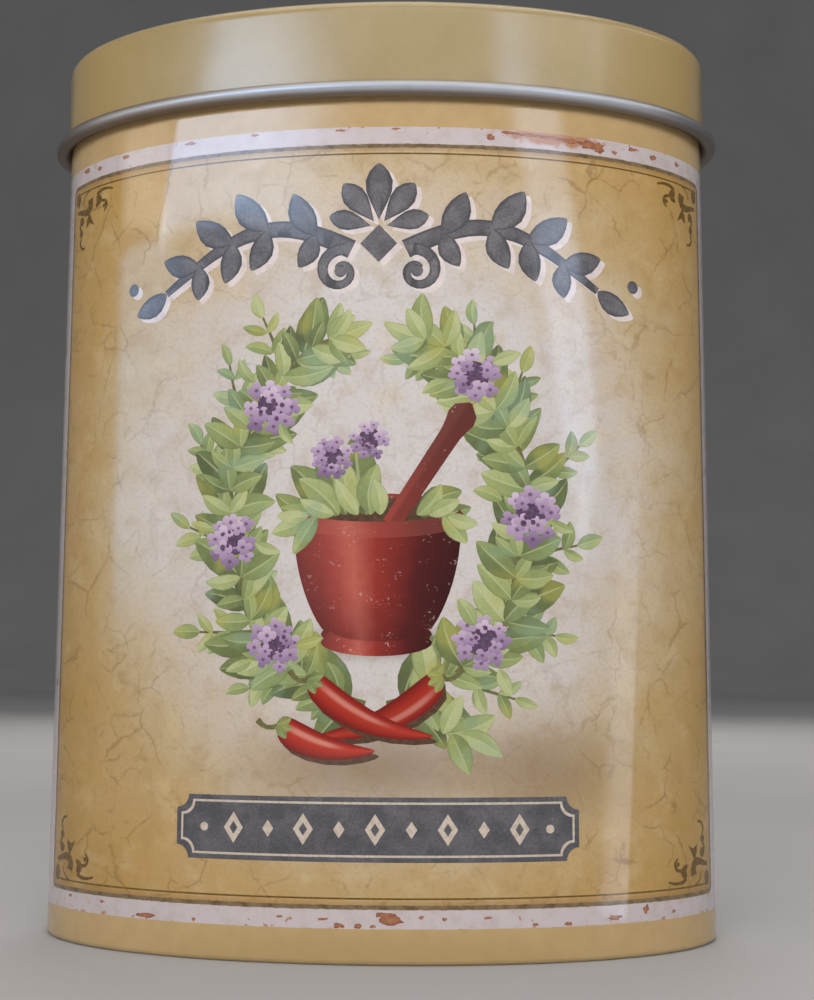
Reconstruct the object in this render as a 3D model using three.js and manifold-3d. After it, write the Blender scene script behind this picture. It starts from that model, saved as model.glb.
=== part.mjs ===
// An oval storage tin with a slip lid, in millimetres, +Z up.
//
// The origin lies on the surface that the tin stands on, under the tin's middle. X runs across
// the wide faces, with the front looking towards -Y. The tin is three pieces of thin sheet: the
// wall, the bottom end that its foot is rolled round, and the lid that slips over its rim.
//
// Every section is drawn in two numbers: how far a point lies outside the wall's outer oval
// (its offset, negative inwards), and its height.

import * as THREE from "three";
import { mergeVertices } from "three/addons/utils/BufferGeometryUtils.js";
import Module from "manifold-3d";

// The oval of the wall's outer face, and the sheet that all three pieces are made of.
const BODY_HALF_WIDTH = 42;
const BODY_HALF_DEPTH = 22;
const SHEET = 0.25;

// Facets: flats round the oval, and the turn that one facet of a bend may take, in degrees.
const FLATS_ROUND_OVAL = 56;
const BEND_STEP = 28;
// Inside this offset the ovals shrink in proportion, so that a panel closes at its middle.
const PANEL_OFFSET = -6;

// The foot: the wall's lower edge turns in along the floor and up again as a hem.
const FOOT_OUTER_RADIUS = 0.7;
const FOOT_FLAT = 0.4;
const HEM_BEND_RADIUS = 0.35;
const HEM_TOP = 2.5;

// The rim: the wall's upper edge is curled inwards into a small open roll.
const RIM_CURL_DIAMETER = 1.2;
const RIM_CURL_TURN = 250;

// The lid: a skirt that clears the wall, a rounded corner, and a panel raised a little.
const LID_CLEARANCE = 0.15;
const LID_CORNER_RADIUS = 1.6;
const LID_SHOULDER_HEIGHT = 113;
const LID_PANEL_RISE = 0.5;
const LID_PANEL_OFFSET = -3.4;
const LID_STEP_WIDTH = 0.8;

// The lid's lower edge is curled outwards into the bead that fingers lift it by.
const LID_BEAD_DIAMETER = 1.9;
const LID_BEAD_BOTTOM = 100.35;
const LID_BEAD_TURN = 295;

// The bottom end: a flange that hangs in the foot, and a panel held clear of the floor.
const END_FLANGE_OFFSET = -0.725;
const END_FLANGE_BOTTOM = 0.6;
const END_BEND_RADIUS = 0.5;
const END_PANEL_UNDERSIDE = 3;
const END_PANEL_STEP = 0.5;
const END_STEP_OFFSET = -4;

// The lock seam inside the wall, at its -X end: four sheets folded flat together.
const SEAM_WIDTH = 3.4;
const SEAM_DEPTH = 0.6;
const SEAM_BOTTOM = 4.4;
const SEAM_TOP = 109.5;

const wasm = await Module();
wasm.setup();

const degrees = THREE.MathUtils.degToRad;

// Points along a bend of the sheet, from one angle to another, in degrees. Angle 0 points
// outwards and 90 points up.
function bend(offset, height, radius, from, to) {
  const steps = Math.max(2, Math.round(Math.abs(to - from) / BEND_STEP));
  const curve = new THREE.EllipseCurve(
    offset, height, radius, radius, degrees(from), degrees(to), to < from,
  );
  return curve.getPoints(steps);
}

// One face of a sheet whose middle follows a line: the line moved sideways by a distance,
// to its left as it runs.
function besideLine(line, distance) {
  return line.map((point, i) => {
    const before = line[Math.max(i - 1, 0)];
    const after = line[Math.min(i + 1, line.length - 1)];
    const into = point.clone().sub(before);
    const outOf = after.clone().sub(point);
    const first = (into.lengthSq() ? into : outOf).clone().normalize();
    const second = (outOf.lengthSq() ? outOf : into).clone().normalize();
    const left = new THREE.Vector2(-first.y - second.y, first.x + second.x);
    return point.clone().addScaledVector(left, distance / (1 + first.dot(second)));
  });
}

// The sheet's section: out along its right face and back along its left one. A sheet that
// ends in mid air is closed, and one that starts on the tin's axis is left open there.
function sheetSection(line, startsOnAxis) {
  const out = besideLine(line, -SHEET / 2);
  const back = besideLine(line, SHEET / 2).reverse();
  return startsOnAxis ? [...out, ...back] : [...out, ...back, out[0]];
}

// The half depth of the oval whose half width is given.
function halfDepth(halfWidth) {
  const panelHalfWidth = BODY_HALF_WIDTH + PANEL_OFFSET;
  const panelHalfDepth = BODY_HALF_DEPTH + PANEL_OFFSET;
  return halfWidth < panelHalfWidth
    ? (halfWidth * panelHalfDepth) / panelHalfWidth
    : halfWidth - BODY_HALF_WIDTH + BODY_HALF_DEPTH;
}

// A section carried round the oval: turned on a lathe as wide as the oval, then drawn in to
// its depth.
function ovalLathe(section) {
  const profile = section.map((p) => new THREE.Vector2(BODY_HALF_WIDTH + p.x, p.y));
  const geometry = new THREE.LatheGeometry(profile, FLATS_ROUND_OVAL);
  geometry.rotateX(Math.PI / 2);
  const position = geometry.getAttribute("position");
  for (let i = 0; i < position.count; i++) {
    const halfWidth = Math.hypot(position.getX(i), position.getY(i));
    const narrowing = halfWidth > 0 ? halfDepth(halfWidth) / halfWidth : 1;
    position.setY(i, position.getY(i) * narrowing);
  }
  return geometry;
}

// A closed geometry as a manifold-3d solid, and back.
function toSolid(geometry) {
  const bare = geometry.clone();
  bare.deleteAttribute("normal");
  bare.deleteAttribute("uv");
  const merged = mergeVertices(bare);
  const vertProperties = new Float32Array(merged.getAttribute("position").array);
  const triVerts = new Uint32Array(merged.getIndex().array);
  return new wasm.Manifold(new wasm.Mesh({ numProp: 3, vertProperties, triVerts }));
}

function toGeometry(solid) {
  const { vertProperties, triVerts } = solid.getMesh();
  const geometry = new THREE.BufferGeometry();
  geometry.setAttribute("position", new THREE.BufferAttribute(vertProperties, 3));
  geometry.setIndex(new THREE.BufferAttribute(triVerts, 1));
  geometry.computeVertexNormals();
  return geometry;
}

// The corner where the lid's skirt turns into its panel, and the roll that the rim makes
// just inside it.
const lidSkirt = LID_CLEARANCE + SHEET / 2;
const lidCorner = {
  offset: LID_CLEARANCE + SHEET - LID_CORNER_RADIUS,
  height: LID_SHOULDER_HEIGHT - LID_CORNER_RADIUS,
};

// The wall's sheet, from the hem's free edge down, round the foot, up the wall and round
// the rim's curl.
function wallSection() {
  const middle = -SHEET / 2;
  const footTurn = FOOT_OUTER_RADIUS - SHEET / 2;
  const hemTurn = HEM_BEND_RADIUS - SHEET / 2;
  const hemBendOffset = -FOOT_OUTER_RADIUS - FOOT_FLAT;
  const curlRadius = (RIM_CURL_DIAMETER - SHEET) / 2;
  return sheetSection([
    new THREE.Vector2(hemBendOffset - hemTurn, HEM_TOP),
    ...bend(hemBendOffset, HEM_BEND_RADIUS, hemTurn, 180, 270),
    ...bend(-FOOT_OUTER_RADIUS, FOOT_OUTER_RADIUS, footTurn, 270, 360),
    ...bend(middle - curlRadius, lidCorner.height, curlRadius, 0, RIM_CURL_TURN),
  ]);
}

// The lock seam's strip, standing against the inside of the wall. Its outer face runs along
// the middle of the wall's sheet, so that the two join all the way.
function seamStrip() {
  const turn = degrees(360 / FLATS_ROUND_OVAL);
  const sheetHalfWidth = BODY_HALF_WIDTH - SHEET / 2;
  const sheetHalfDepth = BODY_HALF_DEPTH - SHEET / 2;
  const flatDepth = sheetHalfDepth * Math.sin(turn);
  const flatFall = sheetHalfWidth * (1 - Math.cos(turn));
  const edge = SEAM_WIDTH / 2;
  const edgeWidth = sheetHalfWidth - (flatFall * edge) / flatDepth;
  const depth = SEAM_DEPTH + SHEET / 2;
  const outline = new THREE.Shape([
    new THREE.Vector2(-edgeWidth, edge),
    new THREE.Vector2(-sheetHalfWidth, 0),
    new THREE.Vector2(-edgeWidth, -edge),
    new THREE.Vector2(-edgeWidth + depth, -edge),
    new THREE.Vector2(-sheetHalfWidth + depth, 0),
    new THREE.Vector2(-edgeWidth + depth, edge),
  ]);
  const strip = new THREE.ExtrudeGeometry(outline, {
    depth: SEAM_TOP - SEAM_BOTTOM,
    bevelEnabled: false,
  });
  return strip.translate(0, 0, SEAM_BOTTOM);
}

// The bottom end's sheet, from the middle of its panel out, down its step and its flange.
function bottomEndSection() {
  const panelHeight = END_PANEL_UNDERSIDE + SHEET / 2;
  return sheetSection([
    new THREE.Vector2(-BODY_HALF_WIDTH, panelHeight + END_PANEL_STEP),
    new THREE.Vector2(END_STEP_OFFSET - END_PANEL_STEP, panelHeight + END_PANEL_STEP),
    new THREE.Vector2(END_STEP_OFFSET, panelHeight),
    ...bend(
      END_FLANGE_OFFSET - END_BEND_RADIUS, panelHeight - END_BEND_RADIUS, END_BEND_RADIUS, 90, 0,
    ),
    new THREE.Vector2(END_FLANGE_OFFSET, END_FLANGE_BOTTOM),
  ], true);
}

// The lid's sheet, from the middle of its panel out, round its corner, down its skirt and
// round the bead.
function lidSection() {
  const shoulder = LID_SHOULDER_HEIGHT - SHEET / 2;
  const beadRadius = (LID_BEAD_DIAMETER - SHEET) / 2;
  const beadHeight = LID_BEAD_BOTTOM + LID_BEAD_DIAMETER / 2;
  return sheetSection([
    new THREE.Vector2(-BODY_HALF_WIDTH, shoulder + LID_PANEL_RISE),
    new THREE.Vector2(LID_PANEL_OFFSET - LID_STEP_WIDTH, shoulder + LID_PANEL_RISE),
    new THREE.Vector2(LID_PANEL_OFFSET, shoulder),
    ...bend(lidCorner.offset, lidCorner.height, lidSkirt - lidCorner.offset, 90, 0),
    ...bend(lidSkirt + beadRadius, beadHeight, beadRadius, 180, 180 + LID_BEAD_TURN),
  ], true);
}

function addPiece(group, name, geometry, material) {
  const mesh = new THREE.Mesh(geometry, material);
  mesh.name = name;
  group.add(mesh);
}

const printedTinplate = new THREE.MeshStandardMaterial({
  color: "#c9a469",
  roughness: 0.3,
  metalness: 0.1,
});
const goldEnamel = new THREE.MeshStandardMaterial({
  color: "#b39a63",
  roughness: 0.4,
  metalness: 0.35,
});
const bareTinplate = new THREE.MeshStandardMaterial({
  color: "#b4b6ba",
  roughness: 0.35,
  metalness: 1,
});

const group = new THREE.Group();
const wall = toSolid(ovalLathe(wallSection())).add(toSolid(seamStrip()));
addPiece(group, "body_wall", toGeometry(wall), printedTinplate);
addPiece(group, "bottom_end", ovalLathe(bottomEndSection()), bareTinplate);
addPiece(group, "lid", ovalLathe(lidSection()), goldEnamel);

export default group;
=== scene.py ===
import bisect
import math
import random

import bmesh
import bpy
from mathutils import Euler, Matrix, Vector
from mathutils.geometry import delaunay_2d_cdt, intersect_point_line


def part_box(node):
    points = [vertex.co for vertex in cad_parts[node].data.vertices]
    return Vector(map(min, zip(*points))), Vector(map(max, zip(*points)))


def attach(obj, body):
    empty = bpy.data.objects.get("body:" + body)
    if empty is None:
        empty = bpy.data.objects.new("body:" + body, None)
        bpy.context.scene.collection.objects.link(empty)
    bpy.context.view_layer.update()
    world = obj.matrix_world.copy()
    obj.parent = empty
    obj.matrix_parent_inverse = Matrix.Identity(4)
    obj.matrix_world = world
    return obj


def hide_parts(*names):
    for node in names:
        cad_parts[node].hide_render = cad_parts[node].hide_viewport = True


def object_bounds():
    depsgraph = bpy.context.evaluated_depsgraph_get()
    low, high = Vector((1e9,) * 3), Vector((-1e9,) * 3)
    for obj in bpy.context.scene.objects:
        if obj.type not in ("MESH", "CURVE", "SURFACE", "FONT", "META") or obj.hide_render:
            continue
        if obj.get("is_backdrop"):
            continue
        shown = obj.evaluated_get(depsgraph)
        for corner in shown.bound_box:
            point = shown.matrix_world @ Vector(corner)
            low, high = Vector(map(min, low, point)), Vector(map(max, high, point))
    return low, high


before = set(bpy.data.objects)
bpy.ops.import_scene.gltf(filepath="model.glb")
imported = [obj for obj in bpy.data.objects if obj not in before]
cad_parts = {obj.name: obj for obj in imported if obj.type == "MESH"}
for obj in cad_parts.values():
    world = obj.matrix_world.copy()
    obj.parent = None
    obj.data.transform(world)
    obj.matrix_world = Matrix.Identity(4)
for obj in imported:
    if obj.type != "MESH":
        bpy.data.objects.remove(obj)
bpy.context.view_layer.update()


# ---------------------------------------------------------------------------------------
# Wall. One sheet of 0.25 mm tinplate bent to an oval: its lower edge is rolled inwards
# into a hem that holds the bottom end, and its upper edge is curled in as a safe rim.
# It is drawn ring by ring along both faces of the sheet, as a closed shell.
# ---------------------------------------------------------------------------------------
MM = 0.001
SHEET = 0.25
ROUND = 192                 # flats round the oval
BEND_STEP = 12              # degrees of bend between rings
PANEL_OFFSET = -6           # inside this offset the ovals shrink in proportion
CREASE = math.radians(35)   # bends sharper than this show as an edge

wall_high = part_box("body_wall")[1]
lid_low, lid_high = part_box("lid")
half_width = wall_high.x / MM
half_depth = wall_high.y / MM

LID_CLEARANCE = 0.15
LID_CORNER_RADIUS = 1.6
LID_PANEL_RISE = 0.5
lid_shoulder = lid_high.z / MM - LID_PANEL_RISE
lid_corner = Vector((LID_CLEARANCE + SHEET - LID_CORNER_RADIUS, lid_shoulder - LID_CORNER_RADIUS))

FOOT_RADIUS = 0.7
FOOT_FLAT = 0.4
HEM_RADIUS = 0.35
HEM_TOP = 2.5
RIM_CURL = 1.2
RIM_CURL_TURN = 250


def bend(offset, height, radius, start, end):
    """Points along a bend of the sheet. 0 degrees points outwards and 90 points up."""
    steps = max(2, round(abs(end - start) / BEND_STEP))
    turns = [math.radians(start + (end - start) * i / steps) for i in range(steps + 1)]
    return [Vector((offset + radius * math.cos(a), height + radius * math.sin(a))) for a in turns]


def sheet_rings(middle):
    """Rings of a sheet from its middle line: out along the right face, back along the left."""
    faces = {-1: [], 1: []}
    for i, point in enumerate(middle):
        into = (point - middle[i - 1]).normalized() if i else None
        out_of = (middle[i + 1] - point).normalized() if i + 1 < len(middle) else None
        into, out_of = into or out_of, out_of or into
        left = Vector((-into.y - out_of.y, into.x + out_of.x)) / (1 + into.dot(out_of))
        for side in faces:
            faces[side].append(point + left * (side * SHEET / 2))
    return faces[-1] + faces[1][::-1]


def oval(offset):
    """Half width and half depth of the ring that lies this far outside the wall, in mm."""
    share = min(1.0, (half_width + offset) / (half_width + PANEL_OFFSET))
    outward = max(offset, PANEL_OFFSET)
    return share * (half_width + outward), share * (half_depth + outward)


def draw_sheet(name, middle, meets_axis):
    """A thin oval sheet as one closed mesh, drawn ring by ring round its section."""
    rings = sheet_rings(middle)
    bpy.ops.object.select_all(action="DESELECT")
    bpy.ops.mesh.primitive_circle_add(vertices=ROUND, radius=1, location=(0, 0, 0))
    sheet = bpy.context.object
    sheet.name = sheet.data.name = name
    bpy.ops.object.mode_set(mode="EDIT")
    bpy.ops.mesh.select_mode(type="EDGE")
    bpy.ops.mesh.select_all(action="SELECT")
    width, depth = oval(rings[0].x)
    bpy.ops.transform.resize(value=(width * MM, depth * MM, 1), center_override=(0, 0, 0))
    bpy.ops.transform.translate(value=(0, 0, rings[0].y * MM))
    for before, after in zip(rings, rings[1:]):
        next_width, next_depth = oval(after.x)
        rise = (0, 0, (after.y - before.y) * MM)
        bpy.ops.mesh.extrude_edges_move(TRANSFORM_OT_translate={"value": rise})
        bpy.ops.transform.resize(value=(next_width / width, next_depth / depth, 1),
                                 center_override=(0, 0, after.y * MM))
        width, depth = next_width, next_depth
    bpy.ops.mesh.select_non_manifold(extend=False)
    if meets_axis:
        bpy.ops.mesh.fill_holes(sides=0)
        bpy.ops.mesh.poke()
    else:
        bpy.ops.mesh.bridge_edge_loops()
    bpy.ops.mesh.select_all(action="SELECT")
    bpy.ops.mesh.normals_make_consistent(inside=False)
    bpy.ops.object.mode_set(mode="OBJECT")
    bpy.ops.object.shade_smooth_by_angle(angle=CREASE)
    return sheet, rings


foot_turn = FOOT_RADIUS - SHEET / 2
hem_turn = HEM_RADIUS - SHEET / 2
hem_bend = -FOOT_RADIUS - FOOT_FLAT
curl_turn = (RIM_CURL - SHEET) / 2
wall, wall_rings = draw_sheet("body_wall_printed", [
    Vector((hem_bend - hem_turn, HEM_TOP)),
    *bend(hem_bend, HEM_RADIUS, hem_turn, 180, 270),
    *bend(-FOOT_RADIUS, FOOT_RADIUS, foot_turn, 270, 360),
    *bend(-SHEET / 2 - curl_turn, lid_corner.y, curl_turn, 0, RIM_CURL_TURN),
], meets_axis=False)
PRINT_BOTTOM = FOOT_RADIUS
PRINT_TOP = lid_corner.y
printed_gap = next(
    k for k, (a, b) in enumerate(zip(wall_rings, wall_rings[1:]))
    if a.y < PRINT_BOTTOM + 1 and b.y > PRINT_TOP - 1
)


# ---------------------------------------------------------------------------------------
# Artwork. The flat sheet was printed before it was bent: the same framed panel for the
# front and the back, in the middle of each wide face. Every motif is a closed outline in
# millimetres on the flat sheet, x along it from the panel's middle and y up from the floor.
# ---------------------------------------------------------------------------------------
PRINT_SHIFT = 1.15          # the print lies this far to the right of the wall's middle
shapes = []                 # painter's order: each shape lies on those before it
chance = random.Random(7)


def plain(point):
    """A shape with no pattern of its own."""
    return 0.0, 0.0


def paint(ink, outline, place=plain, tone=0.5):
    """Adds a shape. `place` turns a point into the shape's own two coordinates."""
    shapes.append((ink, [Vector(p) for p in outline], place, tone))


def facing(degrees):
    """The direction at this angle, and the one a quarter turn to its left."""
    a = math.radians(degrees)
    return Vector((math.cos(a), math.sin(a))), Vector((-math.sin(a), math.cos(a)))


def blade(ink, base, degrees, length, width, belly, full, bow=0.0, tone=0.5, steps=8):
    """A leaf-like shape in two halves, one on each side of its midrib.
    belly sets where it is widest, full how blunt its ends are, and bow how far it curves."""
    along, across = facing(degrees)

    def midrib(u):
        return base + along * (length * u) + across * (length * bow * 4 * u * (1 - u))

    def half(u):
        return width / 2 * math.sin(math.pi * min(max(u, 0.0), 1.0) ** belly) ** full

    def place(point):
        u = (point - base).dot(along) / length
        side = (point - base).dot(across) - length * bow * 4 * u * (1 - u)
        edge = half(u)
        return u, max(-1.0, min(1.0, side / edge)) if edge > 1e-4 else 0.0

    spread = [(1 - math.cos(math.pi * i / steps)) / 2 for i in range(steps + 1)]
    rib = [midrib(u) for u in spread]
    for side in (-1, 1):
        edge = [midrib(u) + across * (side * half(u)) for u in spread[1:-1]]
        paint(ink, [rib[0], *edge, rib[-1], *rib[-2:0:-1]], place, tone)


def stroke(ink, path, widths):
    """A brush stroke along a path, with its widths at the start, the middle and the end."""
    first, middle, last = widths

    def half_width_at(u):
        if u < 0.5:
            return (first + (middle - first) * u * 2) / 2
        return (middle + (last - middle) * (u * 2 - 1)) / 2

    def place(point):
        """0, and how far from the path a point lies, as a share of the stroke's half width."""
        nearest = []
        for i, (a, b) in enumerate(zip(path, path[1:])):
            share = max(0.0, min(1.0, intersect_point_line(point, a, b)[1]))
            nearest.append(((a.lerp(b, share) - point).length, (i + share) / (len(path) - 1)))
        away, u = min(nearest)
        return 0.0, min(1.0, away / max(half_width_at(u), 1e-4))

    left, right = [], []
    for i, point in enumerate(path):
        ahead = (path[min(i + 1, len(path) - 1)] - path[max(i - 1, 0)]).normalized()
        normal = Vector((-ahead.y, ahead.x)) * half_width_at(i / (len(path) - 1))
        left.append(point + normal)
        right.append(point - normal)
    paint(ink, left + right[::-1], place)


def curve(points, steps=5):
    """A smooth line through some points."""
    points = [Vector(p) for p in points]
    held = [points[0] * 2 - points[1], *points, points[-1] * 2 - points[-2]]
    line = [points[0]]
    for a, b, c, d in zip(held, held[1:], held[2:], held[3:]):
        for i in range(1, steps + 1):
            u = i / steps
            line.append(0.5 * (2 * b + (c - a) * u + (2 * a - 5 * b + 4 * c - d) * u ** 2
                               + (3 * b - a - 3 * c + d) * u ** 3))
    return line


def disc(ink, centre, radius, tone=0.5, flat=1.0, lobes=0, corners=12, turn=0.0):
    """A round or lobed spot. Its own coordinates run from -1 to 1 across it."""
    def place(point):
        return (point.x - centre.x) / radius, (point.y - centre.y) / (radius * flat)

    outline = []
    for i in range(corners):
        a = 2 * math.pi * i / corners
        reach = radius * (1 if not lobes else 0.55 + 0.45 * abs(math.cos(lobes * a / 2)) ** 0.5)
        b = a + math.radians(turn)
        outline.append(centre + Vector((reach * math.cos(b), reach * flat * math.sin(b))))
    paint(ink, outline, place, tone)


VOLUTE_STEPS = 22


def arc(centre, radius_x, radius_y, start, end, steps):
    """Points round part of an oval, angles in degrees."""
    turns = [math.radians(start + (end - start) * i / steps) for i in range(steps + 1)]
    return [centre + Vector((radius_x * math.cos(a), radius_y * math.sin(a))) for a in turns]


def volute(centre, radius, start, turns, inner):
    """The middle line of a scroll that winds in to this share of its radius."""
    path = []
    for i in range(VOLUTE_STEPS + 1):
        u = i / VOLUTE_STEPS
        a = math.radians(start + 360 * turns * u)
        r = radius * (1 - (1 - inner) * u)
        path.append(centre + Vector((r * math.cos(a), r * math.sin(a))))
    return path


# Corner scrolls: a traditional printer's ornament of hooks, drops and a forked leaf, drawn
# once and mirrored into each corner. The thin line along the panel's top and bottom turns in
# to it.
PANEL_MIDDLE = Vector((0, 50.5))
FRAME_HALF = Vector((44.95, 44.1))      # from the panel's middle to the frame's dark line


def in_corner(side_x, side_y, *places):
    """Points measured in from one corner of the frame."""
    corner = PANEL_MIDDLE + Vector((side_x * FRAME_HALF.x, side_y * FRAME_HALF.y))
    return [corner - Vector((side_x * x, side_y * y)) for x, y in places]


def corner_ornament(side_x, side_y):
    """The ornament of one corner, reaching about 9 mm in from it each way."""
    for widths, places in (
        ((1.2, 0.95, 0.4),
         ((4.5, 2.2), (4.65, 3.0), (4.2, 3.7), (3.2, 3.75), (2.1, 3.45), (1.1, 3.3))),
        ((0.4, 1.2, 0.55), ((5.9, 3.5), (6.5, 3.0), (6.4, 2.4), (6.1, 2.0))),
        ((0.55, 0.42, 0.26), ((6.1, 2.0), (6.8, 1.6), (8.0, 1.5), (9.2, 1.75))),
        ((0.4, 0.44, 0.26), ((7.0, 2.9), (7.8, 3.1), (8.1, 3.8), (7.6, 4.4))),
        ((0.35, 0.42, 0.26), ((2.5, 6.9), (2.2, 7.6), (2.7, 8.3), (3.5, 8.5))),
        ((0.35, 0.42, 0.26), ((2.7, 4.2), (2.0, 5.2), (2.3, 5.9), (2.4, 6.4))),
    ):
        stroke("olive", curve(in_corner(side_x, side_y, *places), 4), widths)
    paint("olive", in_corner(side_x, side_y, (4.4, 3.9), (4.95, 4.8), (5.6, 5.8), (4.65, 5.35),
                             (3.7, 5.85), (3.85, 4.8)))
    for place, radius, flat in (((1.3, 1.65), 0.72, 1.35), ((2.5, 4.75), 0.6, 1.0),
                                ((2.4, 6.35), 0.5, 1.0), ((7.6, 3.7), 0.3, 1.0)):
        disc("olive", in_corner(side_x, side_y, place)[0], radius, flat=flat, corners=10)


LINE_END = ((2.85, 2.5), (3.1, 1.8), (3.7, 1.3), (4.6, 1.02), (6.0, 0.95))
for side_y in (-1, 1):
    for side_x in (-1, 1):
        corner_ornament(side_x, side_y)
    thin_line = in_corner(-1, side_y, *LINE_END) + in_corner(1, side_y, *LINE_END)[::-1]
    stroke("olive", curve(thin_line, 3), (0.2, 0.2, 0.2))


# Headpiece: a slate scroll ornament across the panel's top, each part with a white cast
# shadow down and to the right, as painted signs have.
HEADPIECE = Vector((0, 84.6))
SHADOW_CAST = Vector((0.62, -0.5))
SCROLL_EYE = Vector((4.5, -5.2))        # from the headpiece's middle


def headpiece(ink, shift):
    """A middle palmette with a leafy scroll on each side."""
    middle = HEADPIECE + shift
    for degrees, length, width in ((90, 7.0, 3.3), (52, 6.0, 2.9), (128, 6.0, 2.9),
                                   (14, 5.2, 2.5), (166, 5.2, 2.5)):
        start = middle + facing(degrees)[0] * 0.9
        blade(ink, start, degrees, length, width, belly=1.5, full=0.75)
    paint(ink, [middle + Vector(p) for p in ((0, -4.2), (2.2, -1.9), (0, 0.4), (-2.2, -1.9))])
    for side in (-1, 1):
        def at(x, y):
            return middle + Vector((side * x, y))
        spine = [at(3.2 + 23.4 * u, -2.6 + 3.2 * math.sin(math.pi * u * 1.15) - 2.6 * u * u)
                 for u in (i / 16 for i in range(17))]
        stroke(ink, spine, (2.3, 1.9, 0.9))
        curl = [at(*p) for p in volute(SCROLL_EYE, 2.7, 100, -1.15, 0.16)]
        stroke(ink, curl, (1.5, 1.0, 0.9))
        disc(ink, at(*SCROLL_EYE), 0.75)
        for share, degrees, length, width in (
            (0.2, 62, 5.8, 3.2), (0.2, -64, 4.4, 2.6), (0.42, 50, 6.2, 3.4),
            (0.42, -68, 5.2, 2.9), (0.64, 32, 5.8, 3.2), (0.64, -80, 5.0, 2.8),
            (0.84, 12, 5.0, 2.9), (0.84, -90, 4.2, 2.5), (1.0, -28, 5.0, 2.7),
        ):
            base = spine[round(share * 16)]
            aim = degrees if side > 0 else 180 - degrees
            blade(ink, base, aim, length, width, bow=-0.06 * side, belly=0.95, full=0.75)
        disc(ink, at(31.6, -5.6), 0.8)


headpiece("white", SHADOW_CAST)
headpiece("slate", Vector((0, 0)))


# Herb wreath: two sprigs that rise from the foot of the picture and nearly meet at the top.
WREATH_MIDDLE = Vector((0, 50.6))
WREATH_REACH = Vector((17.4, 21.4))


def herb_leaf(base, degrees, length, tone):
    """One broad, blunt leaf of the picture."""
    swerve = chance.uniform(-0.1, 0.1)
    blade("leaf", base, degrees, length, length * chance.uniform(0.4, 0.54), bow=swerve,
          belly=0.88, full=0.72, tone=tone)


def on_wreath(side, degrees):
    """A point on one sprig's stem, and the direction in which the sprig grows there."""
    a = math.radians(degrees)
    wobble = 1 + 0.025 * math.sin(a * 7)
    point = WREATH_MIDDLE + Vector((
        side * WREATH_REACH.x * math.cos(a) * wobble, WREATH_REACH.y * math.sin(a) * wobble))
    grows = math.degrees(math.atan2(
        WREATH_REACH.y * math.cos(a), -side * WREATH_REACH.x * math.sin(a)))
    return point, grows


def flower_head(centre, radius):
    """A round head of small four-lobed flowers round a cluster of dark buds."""
    disc("violet_shade", centre, radius * 0.6)
    for ring, count, size in ((0.82, 8, 0.37), (0.52, 4, 0.36)):
        first = chance.uniform(0, 360)
        for i in range(count):
            way = facing(first + 360 * (i + chance.uniform(-0.2, 0.2)) / count)[0]
            spot = centre + way * (radius * ring * chance.uniform(0.82, 1.1))
            shade = 0.5 + 0.2 * (spot.y - centre.y) / radius + chance.uniform(-0.25, 0.25)
            disc("violet", spot, radius * size * chance.uniform(0.8, 1.15), tone=shade, lobes=4,
                 flat=chance.uniform(0.75, 1.0), corners=24, turn=chance.uniform(0, 90))
    for i in range(9):
        way = facing(i * 40 + chance.uniform(-15, 15))[0]
        spot = centre + way * (radius * chance.uniform(0.05, 0.5))
        disc("violet_shade", spot, radius * chance.uniform(0.07, 0.12), corners=7)


def side_shoot(base, degrees, length):
    """A thin twig with two pairs of small leaves and one at its tip."""
    along, across = facing(degrees)
    swerve = across * (length * chance.uniform(-0.08, 0.08))
    stroke("stem", curve([base, base + along * (length * 0.5) + swerve, base + along * length]),
           (0.5, 0.4, 0.25))
    for share, reach in ((0.42, 3.6), (0.72, 3.1)):
        for swing in (-1, 1):
            herb_leaf(base + along * (length * share), degrees + swing * chance.uniform(38, 58),
                      reach * chance.uniform(0.85, 1.15), chance.uniform(0.35, 0.95))
    herb_leaf(base + along * (length * 0.94), degrees, chance.uniform(2.8, 3.6),
              chance.uniform(0.6, 1.0))


def sprig(side):
    """One side of the wreath: side shoots, a shaded back row, the stem, then a lit front row."""
    for degrees in (-62, -38, -16, 8, 30, 48):
        point, grows = on_wreath(side, degrees)
        side_shoot(point, grows - side * chance.uniform(38, 62), chance.uniform(7.0, 9.5))
    for degrees in (-30, 14, 56):
        point, grows = on_wreath(side, degrees)
        side_shoot(point, grows + side * chance.uniform(30, 50), chance.uniform(6.0, 7.5))
    for degrees in range(-80, 68, 10):
        point, grows = on_wreath(side, degrees)
        for swing in (-48, 44):
            herb_leaf(point, grows + side * swing + chance.uniform(-16, 16),
                      chance.uniform(5.4, 7.6), chance.uniform(-0.1, 0.3))
    path = [on_wreath(side, -86 + 158 * i / 40)[0] for i in range(41)]
    stroke("stem", path, (1.0, 0.75, 0.35))
    for degrees in range(-76, 72, 7):
        point, grows = on_wreath(side, degrees)
        for swing in (-62, 60, chance.choice((-22, 24))):
            herb_leaf(point, grows + side * swing + chance.uniform(-18, 18),
                      chance.uniform(3.2, 6.4), chance.uniform(0.25, 0.95))
    tip, grows = on_wreath(side, 72)
    for swing, length in ((0, 5.2), (38, 4.2), (-38, 4.2)):
        herb_leaf(tip, grows + swing, length, 0.9)


for side in (-1, 1):
    sprig(side)
for side, degrees, radius in ((-1, 40, 3.1), (1, 52, 3.0), (-1, -6, 3.0), (1, 2, 3.3),
                              (-1, -47, 2.9), (1, -44, 3.0)):
    head, grows = on_wreath(side, degrees)
    flower_head(head + facing(chance.uniform(0, 360))[0] * 0.8, radius)
    for swing in (-115, 70):
        base = head + facing(grows + swing)[0] * radius * 0.95
        herb_leaf(base, grows + swing, chance.uniform(2.8, 3.8), chance.uniform(0.7, 1.0))


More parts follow.
